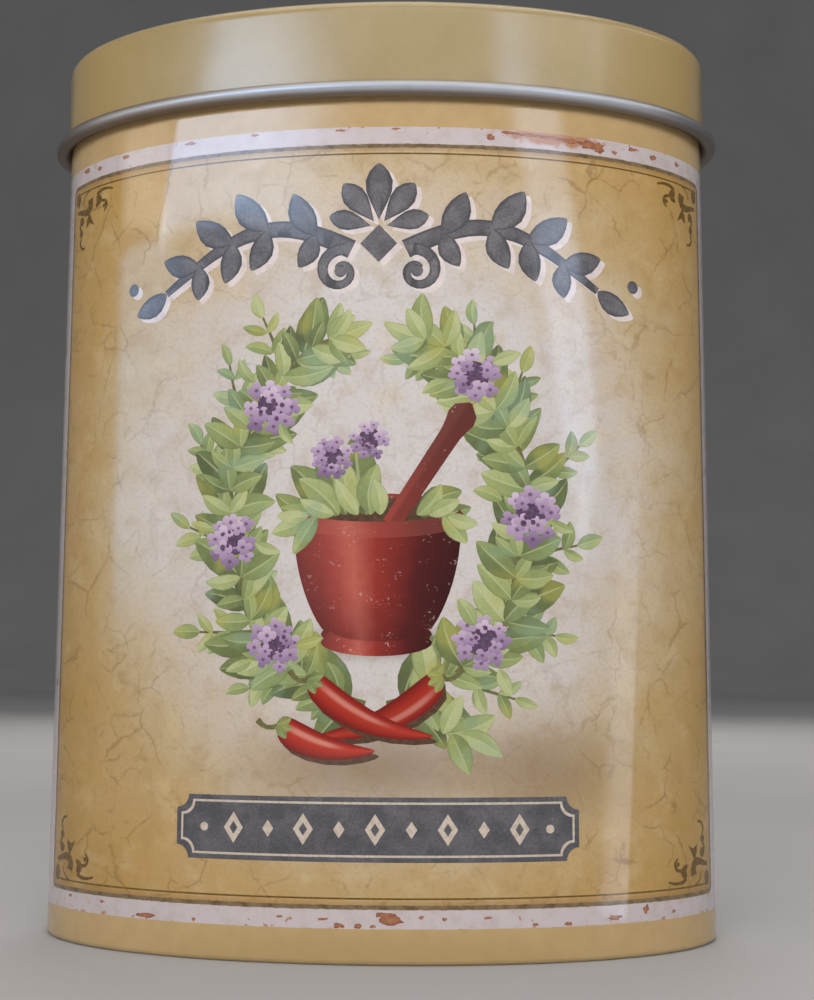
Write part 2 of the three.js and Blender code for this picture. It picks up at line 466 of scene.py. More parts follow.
# Mortar and pestle: the brick-red bowl in the middle of the wreath, with herbs in it.
BOWL = Vector((0, 36.4))
BOWL_HEIGHT = 14.6
BOWL_RIM = Vector((10.2, 2.0))
BOWL_LIP = 0.5              # how far the rim stands out from the bowl's side
BOWL_BASE = 5.0             # half the bowl's width at its base
FOOT_REACH = 6.4            # half the width of the foot that it stands on
PESTLE_LENGTH = 17


def bowl_half(share):
    """Half the bowl's width at a share of its height, from its foot up."""
    swell = math.sin(math.pi / 2 * min(1.0, share * 1.12)) ** 0.62
    return BOWL_BASE + (BOWL_RIM.x - BOWL_LIP - BOWL_BASE) * swell


def on_bowl(point):
    """Across the bowl from -1 to 1, and up it from 0 to 1."""
    share = max(0.0, min(1.0, (point.y - BOWL.y) / BOWL_HEIGHT))
    return max(-1.0, min(1.0, (point.x - BOWL.x) / bowl_half(share))), share


def on_rim(point):
    """Across the rim from -1 to 1, at the height where the bowl is lightest."""
    return (point.x - BOWL.x) / BOWL_RIM.x, 0.93


rim_middle = BOWL + Vector((0, BOWL_HEIGHT))
foot_back = arc(BOWL + Vector((0, 0.4)), FOOT_REACH, 1.5, 0, 360, 24)[:-1]
paint("brick", foot_back, lambda p: ((p.x - BOWL.x) / FOOT_REACH, 0.12), 0.35)
rim_ring = arc(rim_middle, BOWL_RIM.x, BOWL_RIM.y, 0, 360, 36)[:-1]
paint("brick", rim_ring, on_rim, 0.75)
hollow = arc(rim_middle + Vector((0, 0.05)), BOWL_RIM.x - 1.0, BOWL_RIM.y - 0.55, 0, 360, 30)[:-1]
paint("shade", hollow, tone=0.9)

pestle_base, pestle_way = rim_middle + Vector((1.6, -1.6)), facing(57)


def on_pestle(point):
    """Along the pestle from 0 to 1, and across it from about -1 to 1."""
    reach = point - pestle_base
    return reach.dot(pestle_way[0]) / PESTLE_LENGTH, reach.dot(pestle_way[1]) / 1.5


pestle_left, pestle_right = [], []
for i in range(17):
    u = i / 16
    girth = 1.05 + 0.25 * u + 0.5 * math.exp(-((u - 0.9) / 0.09) ** 2)
    girth *= math.sqrt(max(0.02, 1 - max(0.0, (u - 0.88) / 0.12) ** 2))
    spot = pestle_base + pestle_way[0] * (PESTLE_LENGTH * u)
    pestle_left.append(spot + pestle_way[1] * girth)
    pestle_right.append(spot - pestle_way[1] * girth)
paint("brick", pestle_left + pestle_right[::-1], on_pestle, 0.85)

for x, degrees, length, tone in (
    (-7.2, 152, 5.4, 0.3), (-5.6, 128, 7.4, 0.2), (-1.2, 98, 9.6, 0.15), (4.8, 30, 5.8, 0.25),
    (-3.6, 112, 9.0, 0.35), (6.4, 12, 4.6, 0.3), (-6.8, 168, 4.6, 0.5), (-4.4, 138, 6.4, 0.65),
    (-2.6, 104, 7.2, 0.75), (-0.8, 82, 6.0, 0.6), (4.6, 52, 4.6, 0.7), (-5.0, 155, 4.4, 0.9),
    (-2.2, 122, 5.0, 0.95), (0.4, 100, 4.2, 0.9), (6.0, 26, 4.0, 0.85),
):
    herb_leaf(rim_middle + Vector((x, -0.5)), degrees, length, tone)
flower_head(rim_middle + Vector((-5.4, 6.2)), 2.4)
flower_head(rim_middle + Vector((-0.9, 8.4)), 2.2)

bowl_left = [BOWL + Vector((-bowl_half(i / 14), BOWL_HEIGHT * i / 14)) for i in range(15)]
bowl_right = [BOWL + Vector((bowl_half(i / 14), BOWL_HEIGHT * i / 14)) for i in range(15)]
front_lip = arc(rim_middle, BOWL_RIM.x - BOWL_LIP, BOWL_RIM.y, 0, -180, 20)[1:-1]
bowl_foot = arc(BOWL, BOWL_BASE, 1.2, 180, 360, 12)[1:-1]
paint("brick", bowl_left[::-1] + bowl_foot + bowl_right + front_lip, on_bowl)
foot_low = arc(BOWL + Vector((0, -0.5)), FOOT_REACH, 1.6, 180, 360, 14)
foot_high = arc(BOWL + Vector((0, 0.9)), BOWL_BASE + 0.2, 1.3, 360, 180, 14)
paint("brick", foot_low + foot_high, lambda p: ((p.x - BOWL.x) / FOOT_REACH, 0.6), 0.45)
lip_low = arc(rim_middle + Vector((0, -0.9)), BOWL_RIM.x + 0.25, BOWL_RIM.y + 0.25, 180, 360, 24)
lip_high = arc(rim_middle + Vector((0, 0.25)), BOWL_RIM.x - 0.7, BOWL_RIM.y - 0.45, 360, 180, 24)
paint("brick", lip_low + lip_high, on_rim, 0.8)
for x, degrees, length, tone in (
    (-8.2, 205, 4.6, 0.8), (-7.0, 238, 5.2, 0.6), (-8.0, 178, 3.8, 1.0), (7.6, -48, 4.2, 0.7),
    (8.2, -14, 3.6, 0.95),
):
    herb_leaf(rim_middle + Vector((x, -0.6)), degrees, length, tone)


# Red chillies: two that cross where the sprigs are tied, and one beside them.
CHILLI_WIDTH = 3.4


def chilli(stalk, degrees, length, bow, tone):
    """A pepper that tapers from its green cap to a curved point."""
    along, across = facing(degrees)
    stem = [stalk - along * (2.6 - 2.6 * u) + across * (0.7 * math.sin(math.pi * u) * bow * 8)
            for u in (0, 0.25, 0.5, 0.75, 1)]
    blade("shade", stalk + Vector((0.5, -0.6)), degrees, length, CHILLI_WIDTH, bow=bow,
          belly=0.42, full=0.6)
    blade("red", stalk, degrees, length, CHILLI_WIDTH, bow=bow, belly=0.42, full=0.6, tone=tone,
          steps=12)
    stroke("stem", stem, (0.75, 0.5, 0.6))
    for swing in (-38, 0, 38):
        base = stalk - along * 0.25
        blade("leaf", base, degrees + swing, 1.9, 1.1, belly=0.9, full=0.7, tone=0.35, steps=5)


chilli(Vector((7.4, 31.8)), 205, 15.5, 0.1, 0.35)
chilli(Vector((-7.6, 31.6)), -24, 15.5, -0.1, 0.55)
chilli(Vector((-11.2, 26.4)), -14, 11.5, -0.09, 0.75)
for x, degrees, length, tone in ((8.0, 20, 6.0, 0.75), (9.5, -28, 5.6, 0.9), (8.6, -66, 5.0, 0.6),
                                 (7.6, 62, 4.8, 0.95)):
    herb_leaf(Vector((x, 25.6)), degrees, length, tone)


# Slate plaque: a plain ticket with hollowed corners, a cream line and a row of lozenges.
PLAQUE = Vector((0, 14.9))
NOTCH = 1.5
PLAQUE_REACH = Vector((23.5, 3.6))
PLAQUE_TONE = 0.25


def ticket(inset):
    """The plaque's outline, set in from its edge, with a quarter circle cut from each corner."""
    reach = PLAQUE_REACH - Vector((inset, inset))
    outline = []
    for side_x, side_y, start in ((1, 1, 270), (-1, 1, 360), (-1, -1, 90), (1, -1, 180)):
        corner = PLAQUE + Vector((side_x * reach.x, side_y * reach.y))
        outline += arc(corner, NOTCH, NOTCH, start, start - 90, 6)
    return outline


paint("slate", ticket(0), tone=PLAQUE_TONE)
paint("cream", ticket(0.55))
paint("slate", ticket(0.8), tone=PLAQUE_TONE)
for i in range(-4, 5):
    centre = PLAQUE + Vector((i * 4.1, 0))
    tall, wide = (1.75, 1.15) if i % 2 == 0 else (0.95, 0.65)
    lozenge = [Vector(p) for p in ((0, -tall), (wide, 0), (0, tall), (-wide, 0))]
    paint("cream", [centre + p for p in lozenge])
    if i % 2 == 0:
        paint("slate", [centre + p * 0.42 for p in lozenge], tone=PLAQUE_TONE)
for side in (-1, 1):
    disc("cream", PLAQUE + Vector((side * 20, 0)), 0.5, corners=10)


# Worn chips: rust-coloured spots along the cream border, thickest on its outer edge.
def chip(x, y, length, height, tone):
    """A ragged spot, longer than high."""
    centre = Vector((x, y))

    def place(point):
        return (point.x - x) / length * 2, (point.y - y) / height * 2

    outline = []
    for i in range(14):
        a = 2 * math.pi * i / 14
        rough = chance.uniform(0.55, 1.1)
        outline.append(centre + Vector((
            length / 2 * rough * math.cos(a), height / 2 * rough * math.sin(a))))
    paint("rust", outline, place, tone)


STRIPE_TOP_EDGE = 96.9
STRIPE_FOOT_EDGE = 4.05
for x, drop, length, height in (
    (-41.4, 0.5, 1.9, 0.9), (-38.4, 0.9, 1.0, 0.6), (-33.5, 0.5, 1.7, 0.7),
    (-23.8, 0.4, 2.0, 0.5), (-15.2, 0.25, 1.2, 0.35), (-4.7, 0.3, 1.4, 0.4),
    (1.9, 0.2, 1.2, 0.35), (13.3, 1.0, 1.2, 0.9), (15.4, 0.25, 2.8, 0.4), (18.0, 0.4, 3.4, 0.5),
    (20.7, 0.5, 3.6, 0.6), (23.3, 0.65, 3.2, 0.8), (25.5, 0.85, 2.4, 1.3),
    (27.0, 0.95, 1.8, 1.7), (29.2, 1.3, 0.9, 0.5), (31.9, 0.5, 1.8, 0.6), (35.2, 0.9, 1.4, 0.8),
    (39.5, 0.8, 1.0, 0.7),
):
    chip(x, STRIPE_TOP_EDGE - drop, length, height, chance.uniform(0.3, 0.8))
for x, rise, length, height in (
    (-40.1, 1.6, 0.9, 0.5), (-34.1, 1.5, 1.0, 0.4), (-27.5, 0.45, 2.7, 0.65),
    (-21.1, 0.4, 0.6, 0.6), (-10.8, 1.2, 0.9, 0.35), (-5.8, 1.0, 1.6, 0.35),
    (-4, 0.35, 1.4, 0.7), (-1.8, 0.3, 1.2, 0.6), (-0.2, 0.3, 0.9, 0.4), (1.9, 1.05, 3.4, 1.5),
    (1.1, 1.55, 2.6, 0.6), (5.2, 1.3, 0.8, 0.5), (7.8, 1.1, 0.6, 0.5), (12.8, 1.2, 1.2, 0.35),
    (18.2, 0.35, 0.9, 0.4), (22.1, 0.3, 1.1, 0.5), (27.9, 0.7, 2.0, 0.8), (32.2, 1.3, 0.9, 1.3),
    (36.5, 0.8, 0.7, 0.6),
):
    chip(x, STRIPE_FOOT_EDGE + rise, length, height, chance.uniform(0.3, 0.8))
for x, y, length, height in (
    (-46.4, 31, 0.8, 1.1), (-47.3, 74, 0.5, 2.6), (46.8, 58, 0.6, 1.8), (-48.6, 12.2, 0.7, 1.4),
    (47.2, 22, 0.6, 1.2), (48.9, 84, 0.5, 1.6),
):
    chip(x, y, length, height, 0.3)


# The flat sheet is cut along every outline and along the wall's flats, and each piece of it
# takes the ink of the topmost shape there. Then it is bent round the oval, twice.
half_round = ROUND // 2
round_turns = [math.pi * k / half_round for k in range(half_round + 1)]
round_points = [Vector((-half_width * math.cos(a), -half_depth * math.sin(a)))
                for a in round_turns]
round_run = [0.0]
for before, after in zip(round_points, round_points[1:]):
    round_run.append(round_run[-1] + (after - before).length)
half_run = round_run[-1]
round_run = [run - half_run / 2 for run in round_run]


def goes_round(outline, point):
    """Whether a closed outline winds round a point."""
    turns = 0
    for a, b in zip(outline, outline[1:] + outline[:1]):
        if (a.y > point.y) != (b.y > point.y):
            if point.x < a.x + (b.x - a.x) * (point.y - a.y) / (b.y - a.y):
                turns += 1 if b.y > a.y else -1
    return turns != 0


def cut_sheet():
    """The flat sheet as triangles, and the shape that each one shows (None for bare ground)."""
    points, lines = [], []
    for run in round_run:
        lines.append((len(points), len(points) + 1))
        points += [Vector((run - PRINT_SHIFT, edge)) for edge in (PRINT_BOTTOM, PRINT_TOP)]
    for _, outline, _, _ in shapes:
        first, count = len(points), len(outline)
        lines += [(first + i, first + (i + 1) % count) for i in range(count)]
        points += outline
    points, lines, triangles = delaunay_2d_cdt(points, lines, [], 0, 1e-5, False)[:3]
    middles = [sum((points[c] for c in corners), Vector((0, 0))) / 3 for corners in triangles]
    order = sorted(range(len(middles)), key=lambda i: middles[i].x)
    across = [middles[i].x for i in order]
    tops = [None] * len(triangles)
    for top, (_, outline, _, _) in enumerate(shapes):
        low, high = min(p.y for p in outline), max(p.y for p in outline)
        first = bisect.bisect_left(across, min(p.x for p in outline))
        last = bisect.bisect_right(across, max(p.x for p in outline))
        for i in order[first:last]:
            if low < middles[i].y < high and goes_round(outline, middles[i]):
                tops[i] = top
    return points, triangles, tops


def bent(point, turned):
    """A point of the flat sheet on the wall, in metres."""
    run = point.x + PRINT_SHIFT
    k = min(half_round - 1, max(0, bisect.bisect_right(round_run, run + 1e-4) - 1))
    share = (run - round_run[k]) / (round_run[k + 1] - round_run[k])
    flat = round_points[k].lerp(round_points[k + 1], share)
    way = -1 if turned else 1
    return Vector((way * flat.x * MM, way * flat.y * MM, point.y * MM))


INKS = ("ground", "olive", "white", "slate", "cream", "stem", "leaf", "violet", "violet_shade",
        "shade", "brick", "red", "rust")
BARE_SHEET = ("ground", None, plain, 0.5)
INNER_SHARE = 0.55          # the inner face has no print, so it takes less of the bake map
MAP_MARGIN = 0.002
WELD = 2e-6                 # metres within which points are one


def print_wall(wall, rings):
    """Puts the cut sheet in the place of the wall's one tall ring of faces, with its patterns'
    coordinates: "Sheet" is the flat sheet in millimetres, "Motif" a shape's own place, "tone"
    its shade, and "OFBake" the unrolled wall."""
    points, triangles, tops = cut_sheet()
    mesh = bmesh.new()
    mesh.from_mesh(wall.data)
    mesh.faces.ensure_lookup_table()
    sheet_map = mesh.loops.layers.uv.new("Sheet")
    motif_map = mesh.loops.layers.uv.new("Motif")
    bake_map = mesh.loops.layers.uv.new("OFBake")
    tone_layer = mesh.faces.layers.float.new("tone")

    # How far along the section each ring lies, as a share of the unrolled map's height.
    steps = [(b - a).length for a, b in zip(rings, rings[1:])]
    outer_gaps = len(rings) // 2
    round_length = 2 * half_run
    climb = [0.0]
    for k, step in enumerate(steps):
        climb.append(climb[-1] + step * (1 if k < outer_gaps else INNER_SHARE) / round_length)
    closing_gap = len(climb) - 1

    def run_at(place, turned):
        """How far round its half of the wall a point of a ring lies."""
        way = -1 if turned else 1
        turn = abs(math.atan2(-way * place.y / half_depth, -way * place.x / half_width))
        flats = turn / math.pi * half_round
        k = min(half_round - 1, int(flats))
        return round_run[k] + (round_run[k + 1] - round_run[k]) * (flats - k)

    def bake_place(run, turned, high):
        """A place on the unrolled map, inside its margin."""
        across = 0.25 + run / round_length + (0.5 if turned else 0)
        return [share * (1 - 2 * MAP_MARGIN) + MAP_MARGIN for share in (across, high)]

    for face in mesh.faces:
        k = face.index // ROUND
        centre = face.calc_center_median()
        turned = centre.y > 0
        face.material_index = 0 if k < outer_gaps - 1 else len(INKS)
        face.smooth = True
        for loop in face.loops:
            run = run_at(loop.vert.co / MM, turned)
            ring = loop.vert.index // ROUND
            if k < closing_gap:
                high = climb[k if ring == k else k + 1]
            else:
                high = climb[-1] + (MAP_MARGIN if ring == 0 else 0)
            loop[sheet_map].uv = (run - PRINT_SHIFT, loop.vert.co.z / MM)
            loop[bake_map].uv = bake_place(run, turned, high)
            loop[motif_map].uv = (0, 0)

    tall = [f for f in mesh.faces if f.index // ROUND == printed_gap]
    bmesh.ops.delete(mesh, geom=tall, context="FACES_ONLY")
    low, high = climb[printed_gap], climb[printed_gap + 1]
    for turned in (False, True):
        placed = [mesh.verts.new(bent(point, turned)) for point in points]
        for corners, top in zip(triangles, tops):
            ink, _, place, tone = BARE_SHEET if top is None else shapes[top]
            face = mesh.faces.new([placed[c] for c in corners])
            face.material_index = INKS.index(ink)
            face.smooth = True
            face[tone_layer] = tone
            for loop, c in zip(face.loops, corners):
                point = points[c]
                share = (point.y - PRINT_BOTTOM) / (PRINT_TOP - PRINT_BOTTOM)
                up = low + (high - low) * share
                loop[sheet_map].uv = point
                loop[motif_map].uv = place(point)
                loop[bake_map].uv = bake_place(point.x + PRINT_SHIFT, turned, up)
    bmesh.ops.remove_doubles(mesh, verts=mesh.verts, dist=WELD)
    mesh.to_mesh(wall.data)
    mesh.free()


def smooth_wall(wall):
    """Gives every corner on the wall's outer face the oval's own direction, so that the cut
    sheet shades as one smooth surface."""
    normals = []
    corners = wall.data.corner_normals
    for face in wall.data.polygons:
        for i in face.loop_indices:
            at = wall.data.vertices[wall.data.loops[i].vertex_index].co
            out = Vector((at.x / (half_width * MM) ** 2, at.y / (half_depth * MM) ** 2, 0))
            out.normalize()
            in_print = PRINT_BOTTOM - 0.01 < at.z / MM < PRINT_TOP + 0.01
            outer = in_print and face.normal.dot(out) > 0.9
            normals.append(out if outer else corners[i].vector.copy())
    wall.data.normals_split_custom_set(normals)


print_wall(wall, wall_rings)
smooth_wall(wall)


# Inks and lacquer. Lithographic ink on tinplate, baked hard under one clear glossy lacquer:
# the eye sees flat colour below a sharp, mirror-like top face, faintly wavy like all thin
# sheet.
SOFT = {"interpolation_type": "SMOOTHSTEP"}     # for a Map Range with soft ends
COLOUR = {"data_type": "RGBA"}                  # for a Mix of its inputs 6 and 7, as output 2


def linear(hex_colour):
    """An sRGB hex colour as a linear RGBA one."""
    parts = [int(hex_colour[i:i + 2], 16) / 255 for i in (1, 3, 5)]
    return (*(p / 12.92 if p <= 0.04045 else ((p + 0.055) / 1.055) ** 2.4 for p in parts), 1)


def add(tree, kind, sockets=(), stops=(), **settings):
    """Adds one node and gives its outputs. sockets holds its inputs, by name or in order: each
    a value, a hex colour or the output that feeds it. settings are the node's own properties,
    and stops the places and colours of a colour ramp."""
    made = tree.nodes.new("ShaderNode" + kind)
    for name, value in settings.items():
        setattr(made, name, value)
    for name, value in sockets.items() if isinstance(sockets, dict) else enumerate(sockets):
        if isinstance(value, bpy.types.NodeSocket):
            tree.links.new(value, made.inputs[name])
        else:
            made.inputs[name].default_value = linear(value) if isinstance(value, str) else value
    if stops:
        ramp = made.color_ramp.elements
        ramp[0].position, ramp[1].position = stops[0][0], stops[-1][0]
        for place, _ in stops[1:-1]:
            ramp.new(place)
        for stop, (_, colour) in zip(ramp, stops):
            stop.color = linear(colour)
    return made.outputs


def fresh_material(name):
    """An empty material and its node tree."""
    material = bpy.data.materials.new(name)
    material.use_nodes = True
    material.node_tree.nodes.clear()
    return material, material.node_tree


def motif_parts(tree):
    """A painted motif's own two coordinates and its tone."""
    u, v, _ = add(tree, "SeparateXYZ", [add(tree, "UVMap", uv_map="Motif")[0]])
    return u, v, add(tree, "Attribute", attribute_type="GEOMETRY", attribute_name="tone")["Fac"]


SHEET_WAVE = 17             # mm between the sheet's slow waves
WAVE_HEIGHT = 0.05
LACQUER_PEEL = 1.1          # mm between the lacquer's fine ripples
PEEL_HEIGHT = 0.0008


def waviness(tree, place, size, height, under=None):
    """Smooth waves this many millimetres apart and high, on top of others if there are any."""
    wave = add(tree, "TexNoise", {
        "Vector": place, "Scale": 1 / (size * MM), "Detail": 1, "Roughness": 0.4})[0]
    bump = {"Strength": 1, "Distance": height * MM, "Height": wave}
    if under:
        bump["Normal"] = under
    return add(tree, "Bump", bump)[0]


def lacquered(tree, colour):
    """Finishes an ink with the shared lacquer."""
    place = add(tree, "TexCoord")["Object"]
    wavy = waviness(tree, place, SHEET_WAVE, WAVE_HEIGHT)
    finish = add(tree, "BsdfPrincipled", {
        "Base Color": colour, "Roughness": 0.42, "IOR": 1.45, "Specular IOR Level": 0.12,
        "Normal": wavy, "Coat Weight": 1, "Coat Roughness": 0.05, "Coat IOR": 1.5,
        "Coat Normal": waviness(tree, place, LACQUER_PEEL, PEEL_HEIGHT, wavy)})
    add(tree, "OutputMaterial", {"Surface": finish[0]})


def speckle(tree, place, size, low, high):
    """A soft noise mask: 0 where the noise is under low, 1 over high. size is in millimetres."""
    noise = add(tree, "TexNoise", {
        "Vector": place, "Scale": 1 / size, "Detail": 3, "Roughness": 0.6})[0]
    return add(tree, "MapRange", (noise, low, high), **SOFT)[0]


def uneven(tree, place, size, detail, rough, low, high):
    """A noise of this size in millimetres, as a value that swings from low to high."""
    noise = add(tree, "TexNoise", {
        "Vector": place, "Scale": 1 / size, "Detail": detail, "Roughness": rough})[0]
    return add(tree, "Math", (noise, high - low, low), operation="MULTIPLY_ADD")[0]


def band(tree, value, low, high, soft):
    """1 where a value lies between low and high, with edges this soft."""
    rise, fall = (add(tree, "MapRange", (value, edge - soft, edge + soft), **SOFT)[0]
                  for edge in (low, high))
    return add(tree, "Math", (rise, fall), operation="SUBTRACT")[0]


def laid(tree, ground, ink, shown, strength=1):
    """An ink laid over a ground as strongly as a mask shows it."""
    share = add(tree, "Math", (shown, strength), operation="MULTIPLY")[0]
    return add(tree, "Mix", {0: share, 6: ground, 7: ink}, **COLOUR)[2]


def tinted(tree, ground, ink, value, start, end, strength=1):
    """An ink laid over a ground, softly from none where a value is start to all where it is
    end."""
    shown = add(tree, "MapRange", (value, start, end), **SOFT)[0]
    return laid(tree, ground, ink, shown, strength)


def length_of(tree, across, up):
    """How long a step across and up is."""
    up = add(tree, "Math", (up, up), operation="MULTIPLY")[0]
    squared = add(tree, "Math", (across, across, up), operation="MULTIPLY_ADD")[0]
    return add(tree, "Math", [squared], operation="SQRT")[0]


# Ground: gold round an aged panel. The panel is crackled ochre that pales to a lavender cream
# behind the picture, and its frame is a dark line and a worn cream border that is wider at the
# sides than above and below. Every length here is in millimetres of the sheet.
FRAME_CORNER = 0.8
BORDER_HALF = Vector((49.2, 46.45))     # from the panel's middle to the border's outer edge
BORDER_CORNER = 0.2
GLOW_MIDDLE = Vector((1.6, 53))
GLOW_REACH = Vector((37.5, 42))
GLOW_RAMP = 1.6             # how many reaches the glow's colour ramp spans
FAR_OUT = 999               # mm, past the edge of everything


def outside(tree, away, half, corner):
    """Distance outwards from a rectangle with rounded corners, for a point this far away from
    its middle each way."""
    over = [add(tree, "Math", (way, edge - corner), operation="SUBTRACT")[0]
            for way, edge in zip(away, half)]
    past = length_of(tree, *(add(tree, "Math", (o, 0), operation="MAXIMUM")[0] for o in over))
    within = add(tree, "Math", over, operation="MAXIMUM")[0]
    within = add(tree, "Math", (within, 0), operation="MINIMUM")[0]
    both = add(tree, "Math", (past, within), operation="ADD")[0]
    return add(tree, "Math", (both, corner), operation="SUBTRACT")[0]


def reaches_from(tree, point, middle, reach):
    """How far a point lies from an oval's middle, as a share of the oval's reach."""
    steps = [add(tree, "Math", (part, start), operation="SUBTRACT")[0]
             for part, start in zip(point, middle)]
    return length_of(tree, *(add(tree, "Math", (step, size), operation="DIVIDE")[0]
                             for step, size in zip(steps, reach)))


inks = {}
inks["ground"], tree = fresh_material("lithographed ground under lacquer")
sheet = add(tree, "UVMap", uv_map="Sheet")[0]
x, y, _ = add(tree, "SeparateXYZ", [sheet])
beside = add(tree, "Math", [x], operation="ABSOLUTE")[0]
above = add(tree, "Math", (y, PANEL_MIDDLE.y), operation="SUBTRACT")[0]
above = add(tree, "Math", [above], operation="ABSOLUTE")[0]
ragged = uneven(tree, sheet, 0.9, 2, 0.6, -0.1, 0.1)
frame_edge = outside(tree, (beside, above), FRAME_HALF, FRAME_CORNER)
frame_edge = add(tree, "Math", (frame_edge, ragged), operation="ADD")[0]
border_edge = outside(tree, (beside, above), BORDER_HALF, BORDER_CORNER)

# Aged panel: how far a point is from the picture's middle sets its colour.
glow = reaches_from(tree, (x, y), GLOW_MIDDLE, GLOW_REACH)
glow = add(tree, "Math", (glow, uneven(tree, sheet, 9, 4, 0.6, -0.2, 0.2)), operation="ADD")[0]
glow = add(tree, "Math", (glow, GLOW_RAMP), operation="DIVIDE")[0]
panel = add(tree, "ValToRGB", [glow], (
    (0.34, "#c9c9cb"), (0.41, "#c6c4c1"), (0.47, "#c5beb4"), (0.55, "#c1b39a"),
    (0.595, "#bbaa88"), (0.675, "#b79f6e"), (0.75, "#b59862"), (0.845, "#b29354"),
    (0.94, "#a98849")))[0]

# Mottling: broad stains, pale patches, and a finer grain.
elsewhere = add(tree, "VectorMath", (sheet, (31, 17, 5)), operation="ADD")[0]
for place, size, low, high, strength, ink in (
    (sheet, 3.2, 0.46, 0.72, 0.26, "#9c7f45"), (elsewhere, 4.2, 0.5, 0.72, 0.22, "#d3c6a0"),
    (sheet, 0.45, 0.45, 0.75, 0.2, "#8a6f3f"),
):
    panel = laid(tree, panel, ink, speckle(tree, place, size, low, high), strength)

# Crackle: two nets of fine cracks, each showing only in short stretches, and faint where the
# panel is pale.
aged = add(tree, "MapRange", (glow, 0.4, 0.8, 0.3, 1), **SOFT)[0]
wander = add(tree, "TexNoise", {
    "Vector": sheet, "Scale": 1 / 4.5, "Detail": 5, "Roughness": 0.65})["Color"]
pushed = add(tree, "VectorMath", (wander, (3.2, 3.2, 3.2), sheet), operation="MULTIPLY_ADD")[0]
for cell, width, patch, low, high, strength in (
    (9.0, 0.13, 7.0, 0.44, 0.6, 0.5), (4.4, 0.1, 5.0, 0.47, 0.62, 0.46),
):
    width /= cell
    crack = add(tree, "TexVoronoi", {"Vector": pushed, "Scale": 1 / cell},
                feature="DISTANCE_TO_EDGE")["Distance"]
    crack = add(tree, "MapRange", (crack, width * 0.3, width * 1.7, 1, 0), **SOFT)[0]
    for share in (speckle(tree, sheet, patch, low, high), aged):
        crack = add(tree, "Math", (crack, share), operation="MULTIPLY")[0]
    panel = laid(tree, panel, "#7c6030", crack, strength)

# Soft shades on the ground: under the picture, to its right, and at the mortar's foot.
for middle, reach, strength, ink in (
    ((0, 21.8), (26, 7.5), 0.7, "#7a6038"), ((20, 21.3), (14.8, 9.6), 0.62, "#7a6038"),
    ((0, 36), (14.4, 3.1), 0.75, "#6d5a48"),
):
    panel = tinted(tree, panel, ink, reaches_from(tree, (x, y), middle, reach), 1, 0, strength)

# The frame's dark line, broken by wear, with a soft brown fringe inside it.
panel = laid(tree, panel, "#94714a", band(tree, frame_edge, -0.62, 0.2, 0.14), 0.38)
line_ink = laid(tree, "#56472a", "#7b6a4f", speckle(tree, sheet, 1.6, 0.3, 0.6))
panel = laid(tree, panel, line_ink, band(tree, frame_edge, -0.24, 0.26, 0.07))

# Cream border, with small specks of rust that gather at its outer edge, rubbed patches near
# its ends, and one long rub along its top.
border = laid(tree, "#c2bcc1", "#b8b0b2", speckle(tree, sheet, 1.9, 0.4, 0.75))
specks = add(tree, "TexNoise", {
    "Vector": sheet, "Scale": 1 / 1.15, "Detail": 3, "Roughness": 0.55})[0]
gathered = add(tree, "MapRange", (border_edge, -2.1, 0, -0.06, 0.045))[0]
gathered = add(tree, "Math", (specks, gathered), operation="ADD")[0]
border = tinted(tree, border, "#a5755c", gathered, 0.655, 0.71, 0.85)
near_ends = add(tree, "MapRange", (beside, 24, 42), **SOFT)[0]
rubbed = add(tree, "Math", (speckle(tree, elsewhere, 1.5, 0.55, 0.66), near_ends),
             operation="MULTIPLY")[0]
border = laid(tree, border, "#b39a72", rubbed, 0.6)
long_rub = reaches_from(tree, (x, y), (21, 96.4), (8.6, 1.25))
frayed = add(tree, "Math", (specks, 1.6, -0.8), operation="MULTIPLY_ADD")[0]
long_rub = add(tree, "Math", (long_rub, frayed), operation="ADD")[0]
border = tinted(tree, border, "#aa7a53", long_rub, 1, 0.45, 0.9)
panel = laid(tree, panel, border, band(tree, frame_edge, 0.27, FAR_OUT, 0.05))

# Gold outside the border and over all the rest of the sheet, with painted shade at the foot's
# middle.
gold = laid(tree, "#baa274", "#af9767", speckle(tree, sheet, 2.4, 0.3, 0.75), 0.6)
# Painted shade, darker at the foot's middle.
foot_shade = reaches_from(tree, (x, y), (0, 0), (34, 5))
gold = tinted(tree, gold, "#a08a5c", foot_shade, 1.1, 0.3, 0.5)
gold_edge = add(tree, "Math", (ragged, 0.8, border_edge), operation="MULTIPLY_ADD")[0]
colour = laid(tree, panel, gold, band(tree, gold_edge, 0, FAR_OUT, 0.05))

# The seam at the narrow end shows as a dark hairline where the sheet's edges meet.
place_x, place_y, _ = add(tree, "SeparateXYZ", [add(tree, "TexCoord")["Object"]])
at_seam = add(tree, "Math", [place_y], operation="ABSOLUTE")[0]
at_seam = add(tree, "Math", (at_seam, 0.09 * MM), operation="LESS_THAN")[0]
at_end = add(tree, "Math", (place_x, 0), operation="LESS_THAN")[0]
at_seam = add(tree, "Math", (at_seam, at_end), operation="MULTIPLY")[0]
lacquered(tree, laid(tree, colour, "#4d4030", at_seam, 0.8))

# Flat inks: one colour each, broken a little by wear and a grain of this many millimetres.
for ink, name, dark, light, grain in (
    ("olive", "olive ink", "#56400f", "#74591f", 0.45),
    ("white", "white ink", "#d9d4d5", "#ccc5c6", 1.4),
    ("cream", "cream ink", "#c9c1b6", "#b5aa9b", 0.5),
    ("stem", "stem green ink", "#5d5c3a", "#747448", 0.6),
    ("violet_shade", "dark violet ink", "#4f3a56", "#65506f", 0.5),
    ("shade", "shadow ink", "#4a3527", "#5c4532", 0.7),
):
    inks[ink], tree = fresh_material(name + " under lacquer")
    sheet = add(tree, "UVMap", uv_map="Sheet")[0]
    lacquered(tree, laid(tree, dark, light, speckle(tree, sheet, grain, 0.35, 0.7)))

